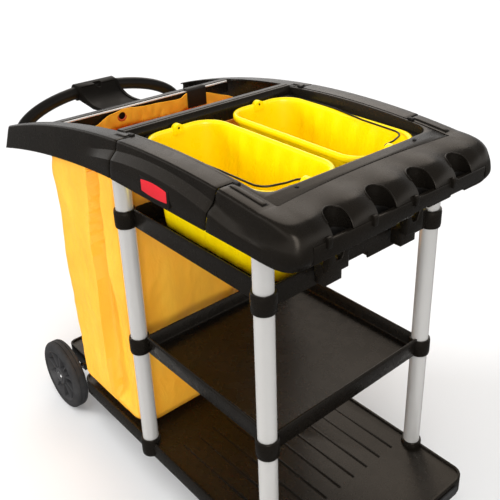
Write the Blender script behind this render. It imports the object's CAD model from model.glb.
"""Looks for a housekeeping cart: moulded hood, lift-out buckets, shelves, hanging bag and wheels.

Metres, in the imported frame: +X runs from the push handle to the tool holders, the near side is -Y, +Z is up.
"""

from math import copysign, cos, exp, pi, radians, sin, sqrt, tan, tau

import bmesh
import bpy
from mathutils import Matrix, Vector, noise


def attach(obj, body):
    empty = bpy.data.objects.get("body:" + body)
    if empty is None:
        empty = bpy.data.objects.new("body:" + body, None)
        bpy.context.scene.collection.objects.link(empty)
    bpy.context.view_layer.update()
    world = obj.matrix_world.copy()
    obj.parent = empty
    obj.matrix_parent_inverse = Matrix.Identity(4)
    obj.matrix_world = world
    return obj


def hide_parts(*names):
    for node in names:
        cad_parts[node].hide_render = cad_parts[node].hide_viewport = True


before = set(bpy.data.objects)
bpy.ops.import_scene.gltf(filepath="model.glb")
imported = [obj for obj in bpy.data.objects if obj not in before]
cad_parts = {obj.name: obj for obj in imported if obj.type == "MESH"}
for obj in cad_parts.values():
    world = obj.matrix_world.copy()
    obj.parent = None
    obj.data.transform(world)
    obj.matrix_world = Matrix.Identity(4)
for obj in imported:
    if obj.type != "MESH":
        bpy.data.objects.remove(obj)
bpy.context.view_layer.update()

SIDES = ((-1, "near"), (1, "far"))
GAP = 0.0008

# Posts and shelves
POST_RADIUS = 0.01905
POST_X = (-0.026, 0.414)
POST_Y = 0.23
POST_FOOT = 0.14
POST_TOP = 0.924
SHELF_X = (-0.008, 0.4205)
SHELF_HALF_WIDTH = 0.225
SHELF_TOPS = {"top_shelf": 0.795, "mid_shelf": 0.471}

# Hood
HOOD_CREST = 0.972
HOOD_CREST_X = 0.19
HOOD_ARCH = 0.2365
HOOD_WALL = 0.004
HOOD_SHEAR = 0.33
HOOD_SIDE_BOTTOM = 0.881
CREASE_Y = 0.265
FLANGE_Y = 0.276
STRIP_WIDTH = 0.04
INNER_Y = CREASE_Y - STRIP_WIDTH
ARM_TIP_STRIP = 0.012
ARM_TIP_X = -0.492
SEAM_1_X = 0.036
SEAM_2_X = 0.343
SEAM_GAP = 0.0018
FRONT_SEAM_X = 0.434
FRONT_SEAM_BOW = 0.014
INNER_CORNER = 0.006
CORNER_POWER = 4.0
FLANK_STEP = 0.3
NOSE_FRONT_X = 0.5305
SLOT_PITCH = 0.107
SLOT_BACK = 0.048
SLOT_ARCH = 0.027
SLOT_HALF_WIDTH = 0.0235
RAIL_HALF = 0.2275
RAIL_Z = (0.886, 0.9175)
LATCH_Y = 0.2385
BEAM_X = (-0.296, -0.254)
ROD_X = -0.2512
BADGE_X = 0.172
BADGE_Z = 0.9075

# Buckets
BUCKET_X = 0.2055
BUCKET_Y = 0.11
BUCKET_HALF = (0.199, 0.095)
BUCKET_TOP = 0.95
BAIL_RADIUS = 0.0022
BAIL_Z = BUCKET_TOP - 0.0015

# Running gear
WHEEL_RADIUS = 0.1015
WHEEL_X = -0.47
WHEEL_Y = 0.236
WHEEL_WIDTH = 0.038
AXLE_HALF = 0.258
CASTER_RADIUS = 0.051
CASTER_WIDTH = 0.031
CASTER_X = 0.482
CASTER_Y = 0.176
CASTER_TRAIL = 0.034
DECK_TOP = 0.16
DECK_FOOT = 0.119
DECK_PLATE = 0.15


# ---- materials


def make_material(name, roughness, metallic=0.0, **sockets):
    mat = bpy.data.materials.new(name)
    mat.use_nodes = True
    shader = mat.node_tree.nodes["Principled BSDF"]
    for socket, value in {"Roughness": roughness, "Metallic": metallic, **sockets}.items():
        shader.inputs[socket.replace("_", " ")].default_value = value
    return mat, mat.node_tree, shader


def node(tree, kind, sources=None, **values):
    """A new shader node with its sockets set, or linked from the outputs in sources."""
    made = tree.nodes.new(f"ShaderNode{kind}")
    for socket, value in values.items():
        made.inputs[socket.replace("_", " ")].default_value = value
    for socket, source in (sources or {}).items():
        tree.links.new(source, made.inputs[socket])
    return made


def coordinates(tree, stretch=(1.0, 1.0, 1.0)):
    at = node(tree, "TexCoord").outputs["Object"]
    return node(tree, "Mapping", {"Vector": at}, Scale=stretch).outputs["Vector"]


def cloud(tree, vector, scale, detail=2.0, distortion=0.0, output="Fac"):
    made = node(tree, "TexNoise", {"Vector": vector}, Scale=scale, Detail=detail, Distortion=distortion)
    return made.outputs[output]


def between(tree, value, low, high, start=0.3, end=0.7):
    reach = {"From Min": start, "From Max": end, "To Min": low, "To Max": high}
    return node(tree, "MapRange", {"Value": value}, **reach).outputs["Result"]


def ramp(tree, value, stops):
    made = node(tree, "ValToRGB", {"Fac": value})
    elements = made.color_ramp.elements
    for position, _ in stops[1:-1]:
        elements.new(position)
    for element, (position, colour) in zip(elements, stops):
        element.position, element.color = position, (*colour, 1.0)
    return made.outputs["Color"]


def two_tone(tree, value, dark, light):
    return ramp(tree, value, ((0.3, dark), (0.7, light)))


def bumped(tree, height, depth, strength=1.0, under=None):
    sources = {"Height": height, "Normal": under} if under else {"Height": height}
    return node(tree, "Bump", sources, Strength=strength, Distance=depth).outputs["Normal"]


def dress(tree, shader, **sources):
    for socket, source in sources.items():
        tree.links.new(source, shader.inputs[socket.replace("_", " ")])


def moulded(name, dark, light, roughness, grain=0.00006, pitch=1500, spread=0.04, **sockets):
    """Moulded plastic: cloudy colour, uneven gloss and a fine spark-eroded grain."""
    mat, tree, shader = make_material(name, roughness, **sockets)
    at = coordinates(tree)
    tone = two_tone(tree, cloud(tree, at, 7, 4), dark, light)
    gloss = between(tree, cloud(tree, at, 38, 4), roughness - spread, roughness + spread)
    flow = bumped(tree, cloud(tree, at, 16, 1), 0.0003, 0.15)
    relief = bumped(tree, cloud(tree, at, pitch, 2), grain, 0.6, flow)
    dress(tree, shader, Base_Color=tone, Roughness=gloss, Normal=relief)
    return mat


def drawn_metal(name, dark, light, roughness, stretch, metallic=1.0, spread=0.02):
    """Drawn or brushed metal: soft clouds in the colour, fine lines along one axis in the gloss."""
    mat, tree, shader = make_material(name, roughness, metallic)
    tone = two_tone(tree, cloud(tree, coordinates(tree), 14, 3), dark, light)
    lines = cloud(tree, coordinates(tree, stretch), 420, 2)
    gloss = between(tree, lines, roughness - spread, roughness + spread)
    dress(tree, shader, Base_Color=tone, Roughness=gloss)
    return mat


def vinyl(name):
    """Coated cloth: soft blotches, hard little creases and a fine weave under the coat."""
    mat, tree, shader = make_material(
        name, 0.42, Specular_IOR_Level=0.35, Subsurface_Weight=0.15, Subsurface_Scale=0.008
    )
    at = coordinates(tree)
    tall = coordinates(tree, (1.0, 1.0, 0.45))
    tone = two_tone(tree, cloud(tree, tall, 9, 5, 0.6), (0.95, 0.4, 0.028), (0.99, 0.49, 0.045))
    wander = cloud(tree, at, 11, output="Color")
    warp = node(tree, "MixRGB", {"Color1": tall, "Color2": wander}, Fac=0.045).outputs["Color"]
    crease = node(tree, "TexVoronoi", {"Vector": warp}, Scale=17)
    crease.feature = "DISTANCE_TO_EDGE"
    folded = between(tree, crease.outputs["Distance"], 0.0, 1.0, 0.0, 0.16)
    soft = bumped(tree, cloud(tree, tall, 26, 4, 0.8), 0.004, 0.55)
    sharp = bumped(tree, folded, 0.0012, 0.22, soft)
    weave = bumped(tree, cloud(tree, at, 1300, 1), 0.0001, 0.5, sharp)
    gloss = between(tree, cloud(tree, at, 60, 4), 0.36, 0.52)
    dress(tree, shader, Base_Color=tone, Roughness=gloss, Normal=weave)
    return mat


def rubber(name, dark, light):
    mat, tree, shader = make_material(name, 0.75)
    at = coordinates(tree)
    tone = two_tone(tree, cloud(tree, at, 30, 5), dark, light)
    gloss = between(tree, cloud(tree, at, 90, 4), 0.66, 0.86)
    relief = bumped(tree, cloud(tree, at, 700, 3), 0.0002, 0.6)
    dress(tree, shader, Base_Color=tone, Roughness=gloss, Normal=relief)
    return mat


def palette():
    low_gloss = {"IOR": 1.35}
    return {
        "charcoal": moulded(
            "charcoal_moulded", (0.0055, 0.0046, 0.0036), (0.0085, 0.007, 0.0055), 0.27, IOR=1.32,
            Specular_Tint=(1.0, 0.9, 0.78, 1.0),
        ),
        "dark": moulded("dark_moulded", (0.004, 0.0035, 0.003), (0.007, 0.006, 0.005), 0.5, **low_gloss),
        "grip": moulded(
            "soft_grip", (0.005, 0.0045, 0.004), (0.008, 0.007, 0.006), 0.34, 0.0002, 900, IOR=1.3
        ),
        "bracket": moulded("bracket_grain", (0.004, 0.0036, 0.003), (0.007, 0.006, 0.005), 0.36, IOR=1.13),
        "yellow": moulded(
            "bucket_plastic", (0.99, 0.69, 0.0), (1.0, 0.75, 0.002), 0.3, 0.00003, 1200, 0.05,
            Subsurface_Weight=0.25, Subsurface_Scale=0.012, Subsurface_Radius=(1.0, 0.8, 0.1),
            Coat_Weight=0.05,
        ),
        "vinyl": vinyl("bag_coated_cloth"),
        "hem": moulded("bag_hem", (0.86, 0.36, 0.02), (0.95, 0.45, 0.03), 0.45, 0.0002, 900),
        "aluminium": drawn_metal(
            "satin_aluminium", (0.93, 0.92, 0.9), (0.95, 0.94, 0.92), 0.26, (1, 1, 0.02), 0.6, 0.01,
        ),
        "steel": drawn_metal("zinc_steel", (0.42, 0.42, 0.43), (0.56, 0.56, 0.56), 0.36, (1, 0.05, 1)),
        "wire": drawn_metal("dark_wire", (0.045, 0.042, 0.04), (0.08, 0.075, 0.07), 0.34, (0.05, 1, 1)),
        "eyelet": moulded("eyelet_coat", (0.42, 0.055, 0.012), (0.55, 0.085, 0.02), 0.38),
        "red": moulded("emblem_inlay", (0.5, 0.01, 0.018), (0.58, 0.014, 0.024), 0.34, **low_gloss),
        "rubber": rubber("tyre_rubber_grey", (0.016, 0.016, 0.017), (0.03, 0.03, 0.031)),
        "floor": make_material(
            "pale_floor", 0.9, Base_Color=(0.735, 0.75, 0.77, 1.0), Specular_IOR_Level=0.1
        )[0],
        "hub": moulded("hub_moulded", (0.04, 0.04, 0.042), (0.06, 0.06, 0.063), 0.48, **low_gloss),
    }


MATERIALS = palette()


# ---- mesh tools


def place(obj, *nodes, body="cart", slot=None):
    """Says what a piece rides on, its slot, from its material if none is given, and what it replaces."""
    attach(obj, body)
    if nodes:
        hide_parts(*nodes)
    return obj


def finish_mesh(name, builder, mat, sharp=35):
    bmesh.ops.remove_doubles(builder, verts=builder.verts, dist=1e-6)
    bmesh.ops.recalc_face_normals(builder, faces=builder.faces)
    mesh = bpy.data.meshes.new(name)
    builder.to_mesh(mesh)
    builder.free()
    mesh.materials.append(MATERIALS[mat])
    obj = bpy.data.objects.new(name, mesh)
    bpy.context.scene.collection.objects.link(obj)
    return shade(obj, sharp)


def shade(obj, sharp=35):
    for face in obj.data.polygons:
        face.use_smooth = True
    obj.data.set_sharp_from_angle(angle=radians(sharp))
    return obj


def applied(obj, sharp=35):
    """Bakes the modifiers into the mesh, so that the shading follows the final shape."""
    graph = bpy.context.evaluated_depsgraph_get()
    mesh = bpy.data.meshes.new_from_object(obj.evaluated_get(graph))
    obj.modifiers.clear()
    obj.data = mesh
    return shade(obj, sharp)


def boolean(obj, others, operation="DIFFERENCE", sharp=35):
    for other in others:
        modifier = obj.modifiers.new("Boolean", "BOOLEAN")
        modifier.operation = operation
        modifier.solver = "EXACT"
        modifier.object = other
    applied(obj, sharp)
    for other in others:
        bpy.data.objects.remove(other, do_unlink=True)
    return obj


def bevel(obj, width, segments=3, angle=38, sharp=50):
    modifier = obj.modifiers.new("Bevel", "BEVEL")
    modifier.width = width
    modifier.segments = segments
    modifier.limit_method = "ANGLE"
    modifier.angle_limit = radians(angle)
    modifier.use_clamp_overlap = True
    return applied(obj, sharp)


def loft(name, rings, mat, closed=False, sharp=35, mouth=False):
    """Joins closed rings of equally many points: capped, joined last to first, or open at the last."""
    builder = bmesh.new()
    made = [[builder.verts.new(point) for point in ring] for ring in rings]
    count = len(made[0])
    pairs = list(zip(made, made[1:]))
    if closed:
        pairs.append((made[-1], made[0]))
    for ring, following in pairs:
        for i in range(count):
            j = (i + 1) % count
            builder.faces.new((ring[i], ring[j], following[j], following[i]))
    if not closed:
        builder.faces.new(made[0])
        if not mouth:
            builder.faces.new(made[-1])
    return finish_mesh(name, builder, mat, sharp)


def prism(name, outline, low, high, mat, axis="Z", edge=0.0, segments=3):
    place_of = {
        "X": lambda a, b, c: (c, a, b),
        "Y": lambda a, b, c: (a, c, b),
        "Z": lambda a, b, c: (a, b, c),
    }[axis]
    obj = loft(name, [[place_of(a, b, end) for a, b in outline] for end in (low, high)], mat)
    return bevel(obj, edge, segments) if edge else obj


def upright(name, outline, y, half, mat, edge=0.0, segments=2):
    """A prism across Y with its middle at y."""
    return prism(name, outline, y - half, y + half, mat, "Y", edge, segments)


def box(name, low, high, mat, edge=0.0, segments=3):
    outline = [(low[0], low[1]), (high[0], low[1]), (high[0], high[1]), (low[0], high[1])]
    return prism(name, outline, low[2], high[2], mat, "Z", edge, segments)


def rounded_rectangle(half_x, half_y, radius, centre=(0.0, 0.0), steps=10):
    points = []
    for quarter, (sx, sy) in enumerate(((1, 1), (-1, 1), (-1, -1), (1, -1))):
        for share in shares(steps):
            angle = (quarter + share) * pi / 2
            x = sx * (half_x - radius) + radius * cos(angle)
            y = sy * (half_y - radius) + radius * sin(angle)
            points.append((centre[0] + x, centre[1] + y))
    return points


def spline(points, steps):
    """A smooth line through the points, centripetal so that it doesn't overshoot."""
    points = [Vector(p) for p in points]
    line = []
    ends = [2 * points[0] - points[1], *points, 2 * points[-1] - points[-2]]
    for a, b, c, d in zip(ends, ends[1:], ends[2:], ends[3:]):
        before, here, after = ((q - p).length ** 0.5 for p, q in ((a, b), (b, c), (c, d)))
        leave = here * ((b - a) / before - (c - a) / (before + here) + (c - b) / here)
        reach = here * ((c - b) / here - (d - b) / (here + after) + (d - c) / after)
        for t in shares(steps)[:-1]:
            line.append(
                b * (2 * t**3 - 3 * t**2 + 1)
                + leave * (t**3 - 2 * t**2 + t)
                + c * (3 * t**2 - 2 * t**3)
                + reach * (t**3 - t**2)
            )
    line.append(points[-1])
    return line


def sweep(name, path, section, mat, up=(0.0, 0.0, 1.0), closed=False, sharp=50):
    """Carries a closed 2-D section (across, up) along a path."""
    path = [Vector(p) for p in path]
    rings = []
    last = len(path) - 1
    side = None
    for index, point in enumerate(path):
        before = path[index - 1] if index or closed else point
        after = path[(index + 1) % len(path)] if index < last or closed else point
        along = (after - before).normalized()
        if side is None:
            side = along.cross(Vector(up)).normalized()
        side = (side - along * side.dot(along)).normalized()
        rise = side.cross(along)
        rings.append([point + side * a + rise * b for a, b in section])
    return loft(name, rings, mat, closed, sharp)


def circle(radius, sides=12):
    angles = [tau * i / sides for i in range(sides)]
    return [(radius * cos(a), radius * sin(a)) for a in angles]


def mirrored(half, middle=()):
    """A profile whose second half is its first with the first number's sign turned, in reverse order."""
    return [*half, *middle, *((-a, b) for a, b in reversed(half))]


def fillet_path(corners, radius, steps=8):
    corners = [Vector(corner) for corner in corners]
    path = [corners[0]]
    for before, corner, after in zip(corners, corners[1:], corners[2:]):
        to_before = (before - corner).normalized()
        to_after = (after - corner).normalized()
        half = to_before.angle(to_after) / 2
        reach = min(radius / tan(half), 0.49 * (before - corner).length, 0.49 * (after - corner).length)
        centre = corner + (to_before + to_after).normalized() * (reach / cos(half))
        first = corner + to_before * reach - centre
        last = corner + to_after * reach - centre
        for share in shares(steps):
            spoke = first.normalized().slerp(last.normalized(), share)
            path.append(centre + spoke * first.length)
    path.append(corners[-1])
    return path


def lathe(name, centre, profile, mat, axis="Z", segments=64, sharp=40):
    """Turns a closed (offset along the axis, radius) profile about an axis through centre."""
    rings = []
    for step in range(segments):
        c, s = cos(tau * step / segments), sin(tau * step / segments)
        turn = {
            "X": lambda o, r: (o, r * c, r * s),
            "Y": lambda o, r: (r * s, o, r * c),
            "Z": lambda o, r: (r * c, r * s, o),
        }[axis]
        rings.append([Vector(centre) + Vector(turn(o, max(r, 1e-5))) for o, r in profile])
    return loft(name, rings, mat, closed=True, sharp=sharp)


def drill(name, at, radius, mat, segments):
    """A round cutter along X."""
    return lathe(name, at, [(-0.02, 0), (-0.02, radius), (0.02, radius), (0.02, 0)], mat, "X", segments)


def soft_corners(profile, radius, steps=3):
    """A closed 2-D profile with every corner rounded."""
    count = len(profile)
    line = []
    for index in range(count):
        before, corner, after = (Vector(profile[(index + k) % count]) for k in (-1, 0, 1))
        a, b = before - corner, after - corner
        reach = min(radius, 0.45 * a.length, 0.45 * b.length)
        start, end = corner + a.normalized() * reach, corner + b.normalized() * reach
        for t in shares(steps):
            point = start * (1 - t) ** 2 + corner * 2 * t * (1 - t) + end * t**2
            line.append((point.x, point.y))
    return line


def shares(count):
    """Evenly spaced numbers from 0 to 1."""
    return [i / count for i in range(count + 1)]


def smooth(value, low, high):
    t = max(0.0, min(1.0, (value - low) / (high - low)))
    return t * t * (3 - 2 * t)


# ---- hood


def hood_top(x):
    return HOOD_CREST - HOOD_ARCH * (x - HOOD_CREST_X) ** 2


def hood_bottom(x):
    back = max(0.0, 0.02 - x)
    return HOOD_SIDE_BOTTOM - 0.06 * back - 0.185 * back**2


def strip_width(x):
    share = max(0.0, min(1.0, (x - ARM_TIP_X) / -ARM_TIP_X))
    return ARM_TIP_STRIP + (STRIP_WIDTH - ARM_TIP_STRIP) * share


def drop_and_band(x):
    """Depths below the crest where the relief's slope starts and ends."""
    drop = min(0.016 + 0.38 * (x - 0.17) ** 2, 0.4 * (hood_top(x) - hood_bottom(x)))
    return drop, drop + 0.018


def panel_profile(x, relief):
    """The outer section of a side: strip, rounded crease, upper face, relief slope and lower band."""
    top, low, width = hood_top(x), hood_bottom(x), strip_width(x)
    drop, band = drop_and_band(x)
    lean = FLANGE_Y - CREASE_Y - 0.003
    height = top - low
    crease = 0.0045
    points = [(0.0, top), (width * 0.5, top + 0.0004)]
    for turn in (share * pi / 2 for share in shares(6)):
        points.append((width - crease + crease * sin(turn), top - crease + crease * cos(turn)))
    soft = 0.001
    depths = [crease + (drop - soft - crease) * i / 3 for i in range(1, 4)]
    depths += [drop, drop + soft]
    depths += [drop + soft + (band - drop - 2 * soft) * i / 3 for i in range(1, 4)]
    depths += [band, band + soft]
    depths += [band + soft + (height - band - soft) * i / 6 for i in range(1, 7)]
    for depth in depths:
        share = max(0.0, min(1.0, (depth - drop) / (band - drop)))
        flat = lean * depth / height
        raised = 0.0115 * share - 0.0035 * smooth(depth, 0.65 * height, height)
        points.append((width + flat + (raised - flat) * relief, top - depth))
    return points


def flank_profile(x, step):
    """The side's outer section with as few points as the nose has, for the wrap-round front."""
    top, low, width = hood_top(x), hood_bottom(x), strip_width(x)
    drop, band = drop_and_band(x)
    lean = FLANGE_Y - CREASE_Y - 0.003
    return [
        (0.0, top),
        (width - 0.006, top),
        (width - 0.0018, top - 0.0018),
        (width, top - 0.006),
        (width + (1 - step) * lean * 0.3 + step * 0.001, top - drop),
        (width + (1 - step) * lean * 0.5 + step * (lean + 0.003), top - band),
        (width + (1 - step) * lean * 0.8 + step * (lean + 0.003), (top + 2 * low) / 3),
        (width + lean, low),
    ]


def with_inner_wall(profile, wall):
    """Closes an outer section with the same line moved inward by the wall, and rounds its lower lip."""
    inner = []
    for index, (out, high) in enumerate(profile):
        before = profile[max(index - 1, 0)]
        after = profile[min(index + 1, len(profile) - 1)]
        along = Vector((after[0] - before[0], after[1] - before[1])).normalized()
        inner.append((out + along.y * wall, high - along.x * wall))
    inner[0] = (profile[0][0], profile[0][1] - wall)
    inner[-1] = (profile[-1][0] - wall, profile[-1][1])
    return list(profile) + inner[::-1]


def lean_back(x, section, side):
    """Sets a section into the hood, sheared so that its foot lies further back."""
    top = hood_top(x)
    inner_edge = CREASE_Y - strip_width(x)
    return [(x - HOOD_SHEAR * (top - z), side * (inner_edge + out), z) for out, z in section]


def shrunk(ring, amount):
    """The ring moved inward by an amount, for a rounded end."""
    count = len(ring)
    points = [Vector(p) for p in ring]
    centre = sum(points, Vector()) / count
    spokes = [point - centre for point in points]
    normal = sum((a.cross(b) for a, b in zip(spokes, spokes[1:] + spokes[:1])), Vector())
    normal.normalize()
    moved = []
    for index, point in enumerate(points):
        before, after = points[index - 1], points[(index + 1) % count]
        a, b = (point - before), (after - point)
        if a.length < 1e-7 or b.length < 1e-7:
            moved.append(point)
            continue
        inward = normal.cross(a.normalized() + b.normalized())
        moved.append(point + inward.normalized() * amount if inward.length > 1e-6 else point)
    return moved


def eased(ring_at, start, end, count, radius=0.002):
    """Rings from start to end, with both ends drawn in over a small radius."""
    stations = [(start, radius), (start + 0.3 * radius, 0.3 * radius)]
    stations += [(start + radius + (end - start - 2 * radius) * i / count, 0.0) for i in range(count + 1)]
    stations += [(end - 0.3 * radius, 0.3 * radius), (end, radius)]
    return [shrunk(ring_at(x), inset) if inset else [Vector(p) for p in ring_at(x)] for x, inset in stations]


def hood_panel(name, start, end, side, replaced):
    def ring_at(x):
        relief = smooth(x, -0.1, SEAM_1_X)
        return lean_back(x, with_inner_wall(panel_profile(x, relief), HOOD_WALL), side)

    count = round((end - start) / 0.01)
    panel = loft(name, eased(ring_at, start, end, count), "charcoal", sharp=42)
    place(panel, replaced)


NOSE = [
    (0.0, 0.9575), (0.05, 0.9515), (0.068, 0.9465), (0.082, 0.9375), (0.0905, 0.927), (0.095, 0.914),
    (0.096, 0.895), (0.082, 0.877),
]
NOSE_CORE = [
    (0.0, 0.95), (0.006, 0.935), (0.01, 0.92), (0.016, 0.908), (0.026, 0.898), (0.04, 0.89),
    (0.054, 0.885), (0.066, 0.8775),
]
LOBE_RISE = [0.0, 0.0015, 0.003, 0.004, 0.0035, 0.002, 0.0, 0.0]
FINE = 4  # steps of the smooth line between two points of a section


def front_seam(y):
    return FRONT_SEAM_X + FRONT_SEAM_BOW * (y / INNER_Y) ** 2


def nose_outer(y):
    """The nose's outer section, measured from the seam, drawn in so that its front stays straight."""
    wave = cos(tau * y / SLOT_PITCH)
    reach = (NOSE_FRONT_X - front_seam(y)) / NOSE[-2][0]
    return [(out * reach, z + rise * wave) for (out, z), rise in zip(NOSE, LOBE_RISE)]


def nose_section(y):
    return spline(nose_outer(y), FINE) + spline(NOSE_CORE, FINE)[::-1]


def nose_ring(y):
    return [(front_seam(y) + out, y, z) for out, z in nose_section(y)]


def flank_section(x, step):
    return with_inner_wall([tuple(p) for p in spline(flank_profile(x, step), FINE)], HOOD_WALL)


def corner_ring(turn, side):
    """A station round a front corner: the side's section at turn 0 becomes the nose at turn 90 degrees."""
    pivot_y = INNER_Y - INNER_CORNER
    pivot_x = front_seam(pivot_y) - INNER_CORNER
    share = sin(turn) ** 2
    flank = flank_section(pivot_x, FLANK_STEP)
    lean = HOOD_SHEAR * cos(turn) ** CORNER_POWER
    top = flank[0][1]
    ring = []
    for (flank_out, flank_z), (nose_out, nose_z) in zip(flank, nose_section(pivot_y)):
        across = (cos(turn) / (flank_out + INNER_CORNER)) ** CORNER_POWER
        ahead = (sin(turn) / (nose_out + INNER_CORNER)) ** CORNER_POWER
        out = (across + ahead) ** (-1 / CORNER_POWER)
        z = flank_z + (nose_z - flank_z) * share
        x = pivot_x + out * sin(turn) - lean * (top - z)
        ring.append((x, side * (pivot_y + out * cos(turn)), z))
    return ring


def slot_arch(centre_y, half_width=SLOT_HALF_WIDTH, back=SLOT_BACK, steps=40):
    """The back of a slot: half an ellipse that opens forward."""
    line = []
    for share in shares(steps):
        across = cos(share * pi)
        out = back + SLOT_ARCH * (1 - sqrt(max(0.0, 1 - across**2)))
        line.append((front_seam(centre_y) + out, centre_y + half_width * across))
    return line


def slot_centres():
    return [SLOT_PITCH * (i - 1.5) for i in range(4)]


def hood_front():
    edge_y = INNER_Y - INNER_CORNER
    start = SEAM_2_X + SEAM_GAP
    end = front_seam(edge_y) - INNER_CORNER
    turns = [i / 24 * pi / 2 for i in range(24)]
    across = [edge_y * (2 * share - 1) for share in shares(200)]

    def flank(side):
        def ring_at(x):
            step = FLANK_STEP + (1 - FLANK_STEP) * (end - x) / (end - start)
            return lean_back(x, flank_section(x, step), side)

        return eased(ring_at, start, end + 0.0013, 9)[:-3]

    rings = flank(-1)
    rings += [corner_ring(turn, -1) for turn in turns]
    rings += [nose_ring(y) for y in across]
    rings += [corner_ring(turn, 1) for turn in reversed(turns)]
    rings += flank(1)[::-1]
    shell = loft("hood_front_shell", rings, "charcoal")
    cutters = []
    for y in slot_centres():
        outline = [(0.6, y + SLOT_HALF_WIDTH), *slot_arch(y), (0.6, y - SLOT_HALF_WIDTH)]
        cutters.append(prism("slot_cut", outline, 0.86, 1.0, "dark"))
    pocket = RAIL_HALF + 0.0015
    low, high = (0.5205, -pocket, 0.86), (0.6, pocket, RAIL_Z[1] + 0.0005)
    cutters.append(box("rail_pocket", low, high, "dark"))
    boolean(shell, cutters, sharp=38)
    place(shell, "hood_front")


def nose_height(x, y):
    """The nose's top surface over a point."""
    line = spline(nose_outer(y), 12)
    out = x - front_seam(y)
    for a, b in zip(line, line[1:]):
        if a.x <= out <= b.x:
            return a.y + (b.y - a.y) * (out - a.x) / max(b.x - a.x, 1e-9)
    return line[-1].y


def slot_rims():
    """The bright lip that follows each slot's edge down to the front rail."""
    for index, y in enumerate(slot_centres(), start=1):
        path = [(px, py, nose_height(px, py)) for px, py in slot_arch(y)]
        for side in (1, -1):
            rim_y = y + side * SLOT_HALF_WIDTH
            run = [(front_seam(rim_y) + out, rim_y, z) for out, z in spline(nose_outer(rim_y), 8)]
            start = path[0][0] + 0.001
            down = [p for p in run if p[0] > start and p[2] > RAIL_Z[1] + 0.001]
            path = down[::-1] + path if side > 0 else path + down
        place(sweep(f"slot_rim_{index}", path, circle(0.0015, 8), "charcoal", up=(0, 1, 0.01)))


def latches():
    """Bars let into the top strips beside the seams, each in a dark groove with a catch at its end."""

    def strip(name, low, high, y, half, rise, mat, edge=0.0009, steps=8):
        stations = [low + (high - low) * share for share in shares(steps)]
        outline = [(x, hood_top(x) - 0.002) for x in stations]
        outline += [(x, hood_top(x) + rise) for x in reversed(stations)]
        return upright(name, outline, y, half, mat, edge)

    for side, end in SIDES:
        for label, low, high, margin in (("rear", -0.001, 0.03, 0.0045), ("front", 0.352, 0.432, 0.003)):
            y = side * LATCH_Y
            name = f"latch_{label}_{end}"
            half = 0.0048 + margin
            groove = strip(f"{name}_groove", low - margin, high + margin, y, half, 0.0005, "dark")
            bar = strip(f"{name}_bar", low, high, y, 0.0048, 0.0026, "charcoal")
            for piece in (groove, bar):
                place(piece, name, slot="dark_plastic")
            catch_x = high + 0.001 if label == "rear" else low - 0.001
            at = (catch_x - 0.006, catch_x + 0.006, y - side * 0.0105)
            place(strip(f"{name}_catch", *at, 0.0045, 0.0034, "dark", 0.001, 1))


def badge():
    face = -FLANGE_Y
    plate = rounded_rectangle(0.047, 0.02, 0.006, (BADGE_X, BADGE_Z), 6)
    inner = rounded_rectangle(0.0458, 0.0188, 0.005, (BADGE_X, BADGE_Z), 6)
    place(prism("badge_back", plate, face - 0.0012, face + 0.0027, "dark", "Y", 0.0005, 2), "badge_plate")
    path = [(x, face - 0.0012, z) for x, z in inner]
    line = sweep("badge_border", path, circle(0.0004, 6), "charcoal", up=(0, 1, 0), closed=True)
    place(line, slot="dark_plastic")
    shape = []
    for turn, base, bow in ((1, -0.009, -0.003), (-1, 0.013, 0.004)):
        for share in shares(40):
            across = turn * (2 * share - 1)
            shape.append((BADGE_X + 0.0405 * across, BADGE_Z + base + bow * (1 - across**2)))
    place(prism("badge_inlay", shape, face - 0.002, face - 0.0008, "red", "Y", 0.0005, 2), "badge_emblem")


def tray_frame():
    """The ring round the buckets: walls under the hood's strips, a ledge and the front strip."""
    outer_y = INNER_Y - GAP
    rear = 0.0042
    outline = [(rear, -outer_y), (rear, outer_y)]
    outline += [(front_seam(y) - 0.0022, y) for y in (outer_y * (1 - 2 * share) for share in shares(48))]
    ring = prism("bucket_frame", outline, 0.9255, 0.9465, "charcoal")
    rise = prism("frame_rise", outline, 0.94, 0.985, "charcoal")
    arch = [(x, hood_top(x) - 0.0008) for x in (rear - 0.02 + 0.49 * share for share in shares(40))]
    roof = prism("frame_roof", [(arch[0][0], 1.1), *arch, (arch[-1][0], 1.1)], -0.3, 0.3, "charcoal", "Y")
    basin = rounded_rectangle(0.22, 0.2175, 0.03, (0.186, 0.0), 12)
    well = prism("frame_well", basin, 0.93, 1.0, "charcoal")
    boolean(rise, [roof, well])
    boolean(ring, [rise], "UNION")
    hole = rounded_rectangle(0.2105, 0.2068, 0.06, (BUCKET_X - 0.0085, 0.0), 16)
    boolean(ring, [prism("frame_hole", hole, 0.9, 1.0, "charcoal")])
    bevel(ring, 0.0012, 2)
    place(ring, "tray_frame")
    for index, y in enumerate((-0.155, 0.155), start=1):
        z = 0.9575
        profile = [(0.0, 0.0), (0.0, 0.004), (0.0022, 0.004), (0.003, 0.0032), (0.003, 0.0016), (0.0014, 0.0)]
        head = lathe(f"screw_head_{index}", (0.417, y, z), profile, "dark", segments=24)
        place(head, f"screw_{index}", slot="fitting_steel")


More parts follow.
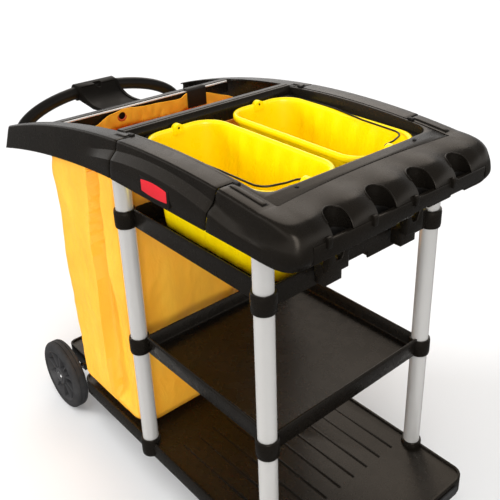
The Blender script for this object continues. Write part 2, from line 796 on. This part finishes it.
def rails():
    """The grooved cross rail, the bag's beam and the rod along its edge."""
    profile = [
        (-0.032, 0.926), (-0.032, 0.958), (-0.029, 0.9625), (-0.012, 0.9645), (-0.0112, 0.9615),
        (-0.0088, 0.9615), (-0.008, 0.9648), (-0.002, 0.964), (0.003, 0.954), (0.0035, 0.926),
        (-0.0005, 0.926), (-0.001, 0.953), (-0.004, 0.9585), (-0.027, 0.9575), (-0.028, 0.926),
    ]
    half = INNER_Y - 0.001
    rail = prism("cross_rail", soft_corners(profile, 0.0014, 2), -half, half, "charcoal", "Y")
    place(rail, "rear_cross_rail")
    low, high = BEAM_X
    profile = [
        (low, 0.89), (low, 0.9135), (low + 0.004, 0.9165), (high - 0.004, 0.9245), (high, 0.9225),
        (high, 0.89), (high - 0.005, 0.89), (high - 0.005, 0.9175), (low + 0.005, 0.9115),
        (low + 0.005, 0.89),
    ]
    half = CREASE_Y - strip_width(high) - 0.0006
    place(prism("bag_beam", soft_corners(profile, 0.002, 3), -half, half, "charcoal", "Y"), "rear_beam")
    path = [(ROD_X, 0.464 * (share - 0.5), 0.9215) for share in shares(8)]
    place(sweep("beam_rod", path, circle(0.0023, 16), "aluminium"), "bag_rod", slot="fitting_steel")


def handle_line(steps=56):
    bow = []
    for turn in (pi * (share - 0.5) for share in shares(steps)):
        bow.append((-0.495 - 0.035 * cos(turn), 0.236 * sin(turn), 0.816 + 0.079 * cos(turn)))
    near = [(-0.405, -0.24, 0.844), (-0.44, -0.2398, 0.83), (-0.475, -0.2385, 0.817)]
    far = [(x, -y, z) for x, y, z in reversed(near)]
    return near + bow + far


def handle():
    place(sweep("handle_bow", handle_line(), circle(0.016, 32), "grip", up=(0, 0, 1)), "handle")
    centre = (-0.5295, 0.8935)
    angles = [radians(-80 - 186 * share) for share in shares(24)]
    outline = [(centre[0] + 0.0222 * cos(a), centre[1] + 0.0222 * sin(a)) for a in angles]
    dip = [(-0.506, 0.9095), (-0.486, 0.8915), (-0.45, 0.8775), (-0.395, 0.8765)]
    dip += [(-0.335, 0.8835), (-0.2965, 0.889)]
    hollow = [tuple(point) for point in spline(dip, 4)]
    outline += [(x, z + 0.003) for x, z in hollow]
    outline += [(-0.2965, 0.885), (-0.44, 0.8675), (-0.512, 0.876)]
    plate = upright("grip_bracket", outline, 0.0, 0.057, "bracket")
    roof = [(-0.28, hollow[-1][1]), (-0.28, 0.95), (hollow[0][0], 0.95)]
    recess = upright("bracket_recess", hollow + roof, 0.0, 0.05, "bracket")
    boolean(plate, [recess, drill("bracket_notch", (-0.5, 0.0, 0.9135), 0.011, "bracket", 32)])
    bevel(plate, 0.0016, 3)
    place(plate, "handle_bracket")


# ---- posts, shelves, deck


def post_places():
    for x, along in zip(POST_X, ("rear", "front")):
        for side, end in SIDES:
            yield x, side * POST_Y, along, end


def posts():
    wall = POST_RADIUS - 0.0025
    profile = [
        (POST_FOOT, POST_RADIUS - 0.0006), (POST_FOOT + 0.0006, POST_RADIUS),
        (POST_TOP - 0.0006, POST_RADIUS), (POST_TOP, POST_RADIUS - 0.0006), (POST_TOP, wall),
        (POST_FOOT, wall),
    ]
    for x, y, along, end in post_places():
        place(lathe(f"tube_{along}_{end}", (x, y, 0), profile, "aluminium"), f"post_{along}_{end}")


def collar(name, x, y, low, high, *nodes):
    """A moulded sleeve with a stepped lip at both ends."""
    lip = [(0.0, POST_RADIUS + 0.0003), (0.0, 0.0222), (0.0012, 0.0232), (0.005, 0.0236), (0.0062, 0.024)]
    profile = [(low + up, r) for up, r in lip] + [(high - down, r) for down, r in reversed(lip)]
    return place(lathe(name, (x, y, 0), profile, "charcoal", segments=56, sharp=30), *nodes)


# A shelf's section: depth below its top, then how far it is drawn in, and its corner radius.
SHELF_SECTION = [
    (0.039, 0.008, 0.008), (0.039, 0.0045, 0.009), (0.042, 0.004, 0.009), (0.043, 0.003, 0.01),
    (0.043, 0.0012, 0.011), (0.0418, 0.0002, 0.012), (0.01, 0.0002, 0.012), (0.0092, 0.0, 0.012),
    (0.0014, 0.0, 0.012), (0.0, 0.0014, 0.011), (0.0, 0.0034, 0.01), (0.0014, 0.0048, 0.009),
    (0.031, 0.0052, 0.009), (0.0345, 0.0068, 0.009), (0.036, 0.01, 0.008),
]


def shelf(name, top):
    half_x = (SHELF_X[1] - SHELF_X[0]) / 2
    rings = []
    for depth, inset, radius in SHELF_SECTION:
        half_y = SHELF_HALF_WIDTH - inset
        outline = rounded_rectangle(half_x - inset, half_y, radius, (sum(SHELF_X) / 2, 0.0), 8)
        rings.append([(x, y, top - depth) for x, y in outline])
    made = loft(f"{name}_tray", rings, "charcoal", sharp=50)
    if name == "top_shelf":
        low, high = (SHELF_X[1] - 0.02, -0.104, top - 0.053), (SHELF_X[1] + 0.03, 0.03, top - 0.0275)
        boolean(made, [box("skirt_notch", low, high, "dark")])
    place(made, name)
    for x, y, along, end in post_places():
        collar(f"{name}_collar_{along}_{end}", x, y, top - 0.046, top - 0.005, name)
        start, stop = (x, x + 0.03) if along == "rear" else (x - 0.03, x)
        web_y = copysign(SHELF_HALF_WIDTH - 0.003, y)
        low, high = (start, web_y - 0.002, top - 0.0375), (stop, web_y + 0.002, top - 0.012)
        place(box(f"{name}_web_{along}_{end}", low, high, "charcoal", 0.0008, 2))


def deck():
    def slab(label, low, high, wall, radius):
        """The deck's wide front part and its narrow tail, drawn in by a wall."""
        wide = rounded_rectangle(0.4595 - wall, 0.238 - wall, radius, (0.1055, 0.0))
        narrow = rounded_rectangle(0.11 - wall, 0.19 - wall, radius - 0.01, (-0.415, 0.0))
        return [prism(f"deck_{label}", area, low, high, "charcoal") for area in (wide, narrow)]

    plate, tail = slab("plate", DECK_FOOT, DECK_TOP, 0.0, 0.03)
    boolean(plate, [tail], "UNION")
    well = slab("well", DECK_PLATE + 0.005, DECK_TOP + 0.01, 0.005, 0.026)
    boolean(plate, well + slab("under", DECK_FOOT - 0.01, DECK_PLATE, 0.005, 0.026))
    plate.name = "deck_plate"
    bevel(plate, 0.0012, 2)
    place(plate, "base_deck")
    for x, y, along, end in post_places():
        collar(f"deck_collar_{along}_{end}", x, y, DECK_FOOT, 0.168)
    for index in range(9):
        y = 0.045 * (index - 4)
        low, high = (0.045, y - 0.003, 0.1545), (0.395, y + 0.003, 0.1562)
        place(box(f"deck_tread_{index}", low, high, "charcoal", 0.0008, 2))
        place(box(f"deck_rib_{index}", (-0.3, y - 0.0015, 0.128), (0.54, y + 0.0015, 0.1502), "charcoal"))
    pad = [(-0.2, 0.128), (0.2, 0.128), (0.2, 0.15), (-0.2, 0.15)]
    place(prism("bumper_strip", pad, 0.565, 0.5715, "rubber", "X", 0.0025), "front_bumper")


# ---- tool holders


def tool_holders():
    low, high = RAIL_Z
    band = [(-RAIL_HALF, low), (-0.03, low), (-0.028, low + 0.005), (RAIL_HALF, low + 0.005)]
    band += [(RAIL_HALF, high), (-RAIL_HALF, high)]
    place(prism("front_rail", band, 0.5213, NOSE_FRONT_X, "charcoal", "X", 0.0012, 2), "tool_rail")
    for index, y in enumerate(slot_centres(), start=1):
        outline = [(0.52, 0.908), (0.5352, 0.906), (0.5362, 0.924), (0.53, 0.9255), (0.5215, 0.921)]
        place(upright(f"rail_ear_{index}", outline, y - 0.0355, 0.005, "charcoal", 0.001))
        outer = slot_arch(y, SLOT_HALF_WIDTH - 0.0006, SLOT_BACK + 0.0006)
        inner = slot_arch(y, SLOT_HALF_WIDTH - 0.005, SLOT_BACK + 0.005)
        reach = 0.519
        outline = [(reach, outer[0][1]), *outer, (reach, outer[-1][1]), (reach, inner[-1][1]), *inner[::-1]]
        outline.append((reach, inner[0][1]))
        grip = prism(f"slot_liner_{index}", outline, 0.887, 0.913, "dark", "Z", 0.0008, 2)
        place(grip, f"tool_grip_{index}")
    for side, end in SIDES:
        y = side * 0.104
        horn = [(0.024, 0.8), (0.024, 0.845), (0.014, 0.845), (0.0095, 0.829), (0.006, 0.8225)]
        outline = [(y + across, z) for across, z in mirrored(horn)]
        rest = prism(f"shaft_rest_{end}", outline, 0.452, 0.47, "charcoal", "X", 0.0012, 2)
        place(rest, f"tool_rest_{end}")
        low, high = (0.43, y - 0.022, 0.77), (0.456, y + 0.022, 0.812)
        place(box(f"shaft_arm_{end}", low, high, "charcoal", 0.0012, 2))


# ---- buckets


def bucket_ring(z, half_x, half_y, radius, centre, flute):
    """A rounded rectangle whose long sides are gently fluted."""
    steps = 14
    run = half_x - radius
    corners = [(x, y, z) for x, y in rounded_rectangle(half_x, half_y, radius, centre, steps)]
    ring = []
    for quarter in range(4):
        ring += corners[quarter * (steps + 1) : (quarter + 1) * (steps + 1)]
        if quarter in (1, 3):
            continue
        toward = 1 if quarter == 0 else -1
        for step in range(1, 60):
            x = toward * run * (1 - 2 * step / 60)
            fade = 1 - smooth(abs(x), run * 0.8, run)
            wave = 0.5 - 0.5 * cos(tau * x / 0.052)
            inset = flute * fade * smooth(wave, 0.1, 0.9)
            ring.append((centre[0] + x, centre[1] + toward * (half_y - inset), z))
    return ring


# The bucket's section from the middle of its foot, up its outside, over the rim and down its inside:
# depth below the rim, insets in length and width, corner radius and share of the fluting.
BUCKET_SECTION = [
    (0.1876, 0.052, 0.049, 0.02, 0.0), (0.1876, 0.036, 0.033, 0.028, 0.0),
    (0.1906, 0.033, 0.03, 0.03, 0.0), (0.1903, 0.028, 0.025, 0.034, 0.0),
    (0.1876, 0.0242, 0.0212, 0.038, 0.0), (0.1816, 0.0225, 0.0205, 0.04, 0.4),
    (0.1606, 0.0208, 0.019, 0.041, 1.0), (0.1106, 0.0172, 0.0162, 0.044, 1.0),
    (0.05, 0.012, 0.0115, 0.048, 1.0), (0.024, 0.0096, 0.0094, 0.05, 0.3),
    (0.014, 0.0086, 0.0086, 0.05, 0.0), (0.0135, 0.004, 0.004, 0.053, 0.0),
    (0.0128, 0.001, 0.001, 0.056, 0.0), (0.0112, 0.0, 0.0, 0.057, 0.0), (0.004, 0.0, 0.0, 0.057, 0.0),
    (0.0012, 0.0012, 0.0012, 0.056, 0.0), (0.0, 0.0042, 0.0042, 0.053, 0.0),
    (0.0004, 0.0074, 0.0074, 0.05, 0.0), (0.0026, 0.0098, 0.0098, 0.049, 0.0),
    (0.007, 0.0108, 0.0108, 0.048, 0.0), (0.016, 0.0114, 0.0114, 0.048, 0.2),
    (0.028, 0.0122, 0.012, 0.047, 1.0), (0.06, 0.0152, 0.0146, 0.045, 1.0),
    (0.1306, 0.0214, 0.02, 0.04, 1.0), (0.1746, 0.0262, 0.0236, 0.036, 0.5),
    (0.1826, 0.029, 0.0262, 0.034, 0.0), (0.1856, 0.034, 0.031, 0.03, 0.0),
    (0.1864, 0.042, 0.039, 0.024, 0.0),
]
FLUTE_DEPTH = 0.0042


def bucket(side, end):
    centre = (BUCKET_X, side * BUCKET_Y)
    rings = []
    for depth, inset_x, inset_y, radius, share in BUCKET_SECTION:
        half_x, half_y = BUCKET_HALF[0] - inset_x, BUCKET_HALF[1] - inset_y
        ring = bucket_ring(BUCKET_TOP - depth, half_x, half_y, radius, centre, FLUTE_DEPTH * share)
        rings.append(ring)
    pail = loft(f"pail_{end}", rings, "yellow", sharp=60)
    place(pail, f"bucket_{end}", body=f"{end}_bucket_body")
    for toward, label in ((-1, "rear"), (1, "front")):
        x = BUCKET_X + toward * (BUCKET_HALF[0] - 0.0085)
        arch = [(0.0115 * cos(pi * share), 0.01 * sin(pi * share) - 0.003) for share in shares(16)]
        profile = [(0.013, -0.014), *arch, (-0.013, -0.014)]
        outline = [(centre[1] + across, BUCKET_TOP + rise) for across, rise in profile]
        lug = prism(f"pail_lug_{label}_{end}", outline, x - 0.0062, x + 0.0062, "yellow", "X")
        boolean(lug, [drill("lug_hole", (x, centre[1], BAIL_Z), BAIL_RADIUS + 0.0006, "yellow", 20)])
        bevel(lug, 0.0016, 3)
        place(lug, body=f"{end}_bucket_body")


def bail(side, end):
    """A wire handle, folded down inside the front of the rim and outside its rear, pinned in both lugs."""
    reach = BUCKET_HALF[0] - 0.0085
    y = side * BUCKET_Y
    at_rear = ((0.006, 0, 0), (-0.0125, 0, 0), (-0.0125, 0.02, -0.004), (-0.011, 0.079, -0.004))
    at_rear += ((0.07, 0.099, -0.001), (0.15, 0.09, 0.004), (0.24, 0.08, 0.0015))
    at_front = ((-0.033, 0.077, 0.0005), (-0.018, 0.03, 0.001), (-0.018, 0.008, 0))
    at_front += ((-0.013, 0, 0), (0.004, 0, 0))
    corners = []
    for pivot, offsets in ((BUCKET_X - reach, at_rear), (BUCKET_X + reach, at_front)):
        corners += [(pivot + ahead, y + side * out, BAIL_Z + rise) for ahead, out, rise in offsets]
    line = fillet_path(corners, 0.032, 10)
    wire = sweep(f"wire_handle_{end}", line, circle(BAIL_RADIUS * 0.9, 14), "wire")
    place(wire, f"bail_{end}", body=f"{end}_bail_body")


# ---- bag

BAG_RINGS = [
    (0.168, -0.342, -0.062, 0.223, 0.05), (0.19, -0.36, -0.053, 0.232, 0.042),
    (0.45, -0.365, -0.049, 0.234, 0.038), (0.79, -0.367, -0.047, 0.234, 0.036),
    (0.835, -0.352, -0.044, 0.233, 0.03), (0.885, -0.25, -0.041, 0.229, 0.026),
    (0.92, -0.247, -0.04, 0.222, 0.022),
]
BAG_TOP_EDGE = [
    (-0.225, 0.88), (-0.2, 0.886), (-0.16, 0.896), (-0.115, 0.914), (-0.08, 0.9195),
    (-0.01, 0.913), (0.08, 0.908), (0.1, 0.918), (0.128, 0.9195), (0.15, 0.908),
    (0.225, 0.888),
]
BAG_FOLDS = (
    (0.04, 0.012, 0.007, 0.01), (0.085, 0.018, 0.005, -0.012), (0.205, 0.014, 0.006, 0.006),
    (0.3, 0.012, 0.006, -0.008), (0.375, 0.01, 0.007, 0.008), (0.43, 0.012, 0.006, -0.006),
    (0.5, 0.016, 0.006, 0.01), (0.905, 0.012, 0.008, 0.006), (0.965, 0.014, 0.007, -0.006),
)
GROMMET_Y = {"near": -0.086, "far": 0.128}
GROMMET_X = -0.248
GROMMET_Z = 0.9045
GROMMET_RADIUS = 0.0112


def along_table(table, value):
    for low, high in zip(table, table[1:]):
        if value <= high[0]:
            t = smooth(value, low[0], high[0])
            return [a + (b - a) * t for a, b in zip(low[1:], high[1:])]
    return list(table[-1][1:])


def even_outline(half_x, half_y, radius, count):
    """Points spread evenly along a rounded rectangle, each with its outward direction."""
    corners = ((1, 1), (-1, 1), (-1, -1), (1, -1))
    runs = (2 * (half_x - radius), 2 * (half_y - radius))
    arc = radius * pi / 2
    total = 2 * sum(runs) + 4 * arc
    points = []
    for index in range(count):
        left, quarter = index / count * total, 0
        while left > arc + runs[quarter % 2]:
            left -= arc + runs[quarter % 2]
            quarter += 1
        turn = (quarter + min(left / arc, 1.0)) * pi / 2
        out = Vector((cos(turn), sin(turn)))
        along = Vector((-out.y, out.x)) * max(0.0, left - arc)
        centre = Vector((corners[quarter][0] * (half_x - radius), corners[quarter][1] * (half_y - radius)))
        points.append((centre + out * radius + along, out))
    return points


def fallen_edge(gap, edge, width, depth):
    """A flat fold whose free edge stands over a hollow: gap is the distance past the edge."""
    if gap < 0:
        return 0.0075 * exp(gap / 0.05)
    return 0.0075 - (depth + 0.0075) * smooth(gap, 0, edge) + depth * smooth(gap, edge + 0.012, width)


def crumple(x, y, z):
    """Small hard ridges, as on stiff coated cloth."""
    height = -0.0022
    for scale, depth in ((6.0, 0.0036), (14.0, 0.0024), (33.0, 0.0011)):
        at = Vector((x * scale + scale, y * scale, z * scale * 0.5))
        height += depth * (1 - 2.4 * abs(noise.noise(at)))
    return height


def bag_push(x, y, out, share, z):
    """How far the cloth stands out from its plain shape."""
    push = crumple(x, y, z)
    for place_at, width, depth, drift in BAG_FOLDS:
        where = place_at + drift * sin(5.0 * (z - 0.2) + 9 * place_at)
        gap = (share - where + 0.5) % 1.0 - 0.5
        wide = width * (0.6 + 0.9 * (0.9 - z))
        ridge = exp(-((gap / wide) ** 2)) - 0.9 * exp(-(((gap - 1.2 * wide) / (0.5 * wide)) ** 2))
        push += depth * ridge * (0.35 + 0.65 * sin(3.2 * z + 17 * place_at) ** 2)
    opened = 0.04 + 0.075 * smooth(0.8 - z, 0.0, 0.5)
    near = fallen_edge(x + 0.182 - 0.02 * smooth(z, 0.6, 0.83), 0.005, opened, 0.026)
    far = fallen_edge(-x - 0.12 - 0.03 * smooth(z, 0.4, 0.8), 0.008, opened + 0.02, 0.013)
    push += near * smooth(-out.y, 0.8, 1.0) + far * smooth(out.y, 0.8, 1.0)
    apart = min(abs(y - centre) for centre in GROMMET_Y.values())
    quiet = exp(-((apart / 0.022) ** 2) - ((z - GROMMET_Z) / 0.022) ** 2) if x < -0.2 else 0.0
    gathered = abs(noise.noise(Vector((y * 34, z * 20, 3.1)))) * smooth(z, 0.855, 0.885)
    gathered *= smooth(-out.x, 0.5, 1.0)
    held = smooth(z, 0.168, 0.23) * smooth(0.925 - z, 0.0, 0.1) * (1 - quiet)
    return max(-0.026, min(0.0105, push)) * held - 0.006 * gathered * (1 - 0.7 * quiet)


def bag():
    count, levels = 440, 130
    bottom, top = BAG_RINGS[0][0], BAG_RINGS[-1][0]
    rings = []
    for rise in shares(levels):
        z = bottom + (top - bottom) * rise
        low, high, half, radius = along_table(BAG_RINGS, z)
        ring = []
        for index, (point, out) in enumerate(even_outline((high - low) / 2, half, radius, count)):
            x, y = (low + high) / 2 + point.x, point.y
            push = bag_push(x, y, out, index / count, z)
            rear = smooth(-out.x, 0.2, 0.9)
            side_edge = 0.888 + 0.017 * smooth(x, -0.2, -0.04)
            edge = along_table(BAG_TOP_EDGE, y)[0] * rear + side_edge * (1 - rear)
            height = z - (top - edge) * smooth(z, 0.8, top)
            ring.append((x + out.x * push, y + out.y * push, height))
        rings.append(ring)
    made = loft("hanging_bag", rings, "vinyl", sharp=80, mouth=True)
    solid = made.modifiers.new("Thickness", "SOLIDIFY")
    solid.thickness = 0.0009
    solid.offset = -1
    punches = [drill("punch", (GROMMET_X, y, GROMMET_Z), 0.0095, "vinyl", 40) for y in GROMMET_Y.values()]
    boolean(made, punches, sharp=80)
    place(made, "bag")
    place(sweep("bag_hem", rings[-1][::2], circle(0.0013, 8), "hem", closed=True))


def bag_fittings():
    strap = [
        (-0.2595, 0.9275), (-0.2475, 0.9285), (-0.2395, 0.925), (-0.2395, 0.88), (-0.243, 0.88),
        (-0.243, 0.9225), (-0.2485, 0.9256), (-0.2595, 0.9252),
    ]
    place(prism("beam_strap", soft_corners(strap, 0.0012, 2), 0.1, 0.156, "dark", "Y"), "bag_strap")
    turns = [tau * i / 14 for i in range(14)]
    profile = [(0.0016 * sin(a), GROMMET_RADIUS + 0.0026 * cos(a)) for a in turns]
    for end, y in GROMMET_Y.items():
        at = (GROMMET_X, y, GROMMET_Z)
        place(lathe(f"grommet_{end}", at, profile, "eyelet", "X", 48), f"eyelet_{end}")


# ---- running gear


def wheel(label, kind, end, centre, radius, wall, width, bore, spokes, grooves, body):
    """A ribbed hub and a tyre round it, which replace the CAD's wheel or caster wheel of that end."""
    half = width / 2
    rim = radius - wall
    shoulder = [(-half, rim), (-half - 0.0001, radius - 0.014), (-half + 0.0015, radius - 0.0065)]
    shoulder += [(-half + 0.0045, radius - 0.0022), (-half + 0.008, radius - 0.0003)]
    tread = []
    for groove in grooves:
        tread += [(groove - 0.0014, radius), (groove - 0.0008, radius - 0.0018)]
        tread += [(groove + 0.0008, radius - 0.0018), (groove + 0.0014, radius)]
    tyre = lathe(f"{label}_tyre_{end}", centre, mirrored(shoulder, tread), "rubber", "Y", 96, 50)
    place(tyre, f"{kind}_tyre_{end}", body=body)
    name = f"{label}_hub_{end}"
    boss = bore + 0.012 * rim / 0.0775 + 0.004
    face = [(-half, bore), (-half, boss - 0.001), (-half + 0.001, boss), (-0.004, boss + 0.002)]
    face += [(-0.004, rim - 0.008), (-half + 0.004, rim - 0.0035)]
    face += [(-half + 0.001, rim - 0.0025), (-half + 0.001, rim)]
    place(lathe(name, centre, mirrored(face), "hub", "Y", 72, 35), f"{kind}_hub_{end}", body=body)
    low, high = (-0.0016, -half + 0.004, boss - 0.001), (0.0016, half - 0.004, rim - 0.003)
    for index in range(spokes):
        rib = box(f"{name}_rib_{index}", low, high, "hub", 0.0008, 2)
        turn = Matrix.Rotation(tau * index / spokes, 4, "Y")
        rib.data.transform(Matrix.Translation(centre) @ turn)
        place(rib, body=body)


def rear_wheels():
    """The axle, and at each end its wheel, its cap and the hanger that carries it."""
    end_face = [(-AXLE_HALF, 0.0), (-AXLE_HALF, 0.007), (-AXLE_HALF + 0.001, 0.008)]
    axle = lathe("axle_bar", (WHEEL_X, 0.0, WHEEL_RADIUS), mirrored(end_face), "steel", "Y", 40)
    place(axle, "rear_axle")
    for side, end in SIDES:
        centre = Vector((WHEEL_X, side * WHEEL_Y, WHEEL_RADIUS))
        size = (WHEEL_RADIUS, 0.024, WHEEL_WIDTH, 0.0086)
        wheel("rear", "wheel", end, centre, *size, 10, (-0.006, 0.006), f"{end}_wheel_body")
        cap = [(0.0, 0.0), (0.0, 0.0125), (0.0008, 0.0135), (0.003, 0.0125), (0.004, 0.009), (0.0042, 0.0)]
        if side < 0:
            cap = [(-o, r) for o, r in cap]
        face = (WHEEL_X, side * (WHEEL_Y + WHEEL_WIDTH / 2 - 0.0002), WHEEL_RADIUS)
        place(lathe(f"axle_cap_{end}", face, cap, "steel", "Y", 40))
        cheek = [(-0.034, DECK_PLATE), (-0.0165, WHEEL_RADIUS - 0.006), (-0.01, WHEEL_RADIUS - 0.0155)]
        outline = [(WHEEL_X + across, z) for across, z in mirrored(cheek)]
        hanger = upright(f"hanger_{end}", outline, side * 0.176, 0.005, "charcoal", 0.0012)
        place(hanger, f"axle_hanger_{end}", slot="hub_plastic")


def casters():
    """Swivel casters: plate, race and bolts above; crown, bridge, legs, nuts and the wheel below."""

    def turned(name, x, y, profile, segments=64, sharp=40):
        return lathe(name, (x, y, 0), profile, "steel", segments=segments, sharp=sharp)

    for side, end in SIDES:
        y = side * CASTER_Y
        swivel = f"{end}_swivel_body"
        low, high = (CASTER_X - 0.034, y - 0.03, 0.147), (CASTER_X + 0.034, y + 0.03, 0.1499)
        place(box(f"caster_top_{end}", low, high, "steel", 0.0012, 2), f"caster_plate_{end}")
        race = [(0.1294, 0.0), (0.1294, 0.0255), (0.131, 0.0285), (0.137, 0.0295), (0.14, 0.027)]
        race += [(0.142, 0.024), (0.1475, 0.023), (0.1475, 0.0)]
        place(turned(f"caster_race_{end}", CASTER_X, y, race))
        bolt = [(0.144, 0.0), (0.144, 0.005), (0.1472, 0.005), (0.1472, 0.0)]
        for dx in (-0.026, 0.026):
            for dy in (-0.022, 0.022):
                place(turned(f"caster_bolt_{end}", CASTER_X + dx, y + dy, bolt, 6, 20))
        crown = [(0.1282, 0.0), (0.1282, 0.0245), (0.1265, 0.0265)]
        crown += [(0.115, 0.0265), (0.114, 0.025), (0.114, 0.0)]
        place(turned(f"fork_crown_{end}", CASTER_X, y, crown), f"caster_fork_{end}", body=swivel)
        low, high = (CASTER_X - 0.026, y - 0.0232, 0.1165), (CASTER_X + 0.02, y + 0.0232, 0.124)
        place(box(f"fork_bridge_{end}", low, high, "steel", 0.003, 3), body=swivel)
        wheel_x = CASTER_X - CASTER_TRAIL
        outline = [(CASTER_X + 0.02, 0.1235), (CASTER_X - 0.026, 0.1235)]
        foot = ((-0.012, 0.006), (-0.009, -0.01), (0.009, -0.01), (0.015, 0.006))
        outline += [(wheel_x + ahead, CASTER_RADIUS + rise) for ahead, rise in foot]
        outline = soft_corners(outline, 0.008, 4)
        for outward in (-1, 1):
            leg_y = y + outward * 0.0215
            place(upright(f"fork_leg_{end}", outline, leg_y, 0.0016, "steel", 0.0007), body=swivel)
            nut = [(0.0, 0.0), (0.0, 0.0075), (0.0022, 0.0075), (0.003, 0.0062), (0.003, 0.0)]
            nut = [(outward * o, r) for o, r in nut]
            face = (wheel_x, leg_y + outward * 0.0015, CASTER_RADIUS)
            place(lathe(f"fork_nut_{end}", face, nut, "steel", "Y", 6, 20), body=swivel)
        centre = Vector((wheel_x, y, CASTER_RADIUS))
        size = (CASTER_RADIUS, 0.013, CASTER_WIDTH, 0.005)
        wheel("front", "caster", end, centre, *size, 6, (), f"{end}_caster_body")


# ---- stage


def stage():
    builder = bmesh.new()
    bmesh.ops.create_grid(builder, x_segments=2, y_segments=2, size=40.0)
    floor = finish_mesh("floor", builder, "floor")
    floor.visible_glossy = False


def sun(name, strength, direction, colour, softness, glossy=True):
    lamp = bpy.data.lights.new(name, "SUN")
    lamp.energy = strength
    lamp.color = colour
    lamp.angle = radians(softness)
    obj = bpy.data.objects.new(name, lamp)
    obj.rotation_mode = "QUATERNION"
    obj.rotation_quaternion = Vector(direction).to_track_quat("-Z", "Y")
    obj.visible_glossy = glossy
    bpy.context.scene.collection.objects.link(obj)


def lights():
    """A pale band of light round the horizon, a softer dome above it, and four soft suns."""
    world = bpy.data.worlds.new("studio")
    world.use_nodes = True
    tree = world.node_tree
    background = tree.nodes["Background"]
    background.inputs["Color"].default_value = (1.0, 0.99, 0.98, 1.0)
    at = node(tree, "TexCoord").outputs["Generated"]
    rise = node(tree, "SeparateXYZ", {"Vector": at}).outputs["Z"]
    levels = ((0.44, 0.14), (0.49, 1.04), (0.6, 1.04), (0.74, 0.22))
    stops = [(position, (level, level, level)) for position, level in levels]
    strength = ramp(tree, between(tree, rise, 0.0, 1.0, -1.0, 1.0), stops)
    tree.links.new(strength, background.inputs["Strength"])
    bpy.context.scene.world = world
    sun("overhead", 2.2, (-0.25, 0.15, -1.0), (1.0, 0.98, 0.95), 50, glossy=False)
    sun("key", 2.3, (0.68, 0.68, -0.36), (1.0, 0.97, 0.94), 20, glossy=False)
    sun("beyond", 0.6, (0.65, -0.6, -0.62), (1.0, 0.9, 0.8), 40)
    sun("fill", 1.3, (-0.74, 0.5, -0.32), (1.0, 0.97, 0.94), 30)


def camera():
    yaw, pitch, roll = (radians(a) for a in (48.594, 25.441, -1.167))
    turned = Matrix.Rotation(yaw, 4, "Z") @ Matrix.Rotation(pi / 2 - pitch, 4, "X")
    lens = bpy.data.cameras.new("camera")
    lens.lens = 52.48
    lens.sensor_width = 36.0
    lens.shift_x = -0.04
    lens.shift_y = -0.1
    obj = bpy.data.objects.new("camera", lens)
    obj.matrix_world = Matrix.Translation((1.2064, -0.91, 1.4553)) @ turned @ Matrix.Rotation(roll, 4, "Z")
    bpy.context.scene.collection.objects.link(obj)
    bpy.context.scene.camera = obj
    bpy.context.scene.view_settings.view_transform = "Standard"


def build():
    camera()
    lights()
    stage()
    for side, end in SIDES:
        hood_panel(f"arm_shell_{end}", ARM_TIP_X, SEAM_1_X - SEAM_GAP, side, f"hood_arm_{end}")
        hood_panel(f"side_shell_{end}", SEAM_1_X, SEAM_2_X, side, f"hood_side_{end}")
    hood_front()
    slot_rims()
    latches()
    badge()
    tray_frame()
    rails()
    handle()
    posts()
    for name, top in SHELF_TOPS.items():
        shelf(name, top)
    deck()
    tool_holders()
    for side, end in SIDES:
        bucket(side, end)
        bail(side, end)
    bag()
    bag_fittings()
    rear_wheels()
    casters()


build()
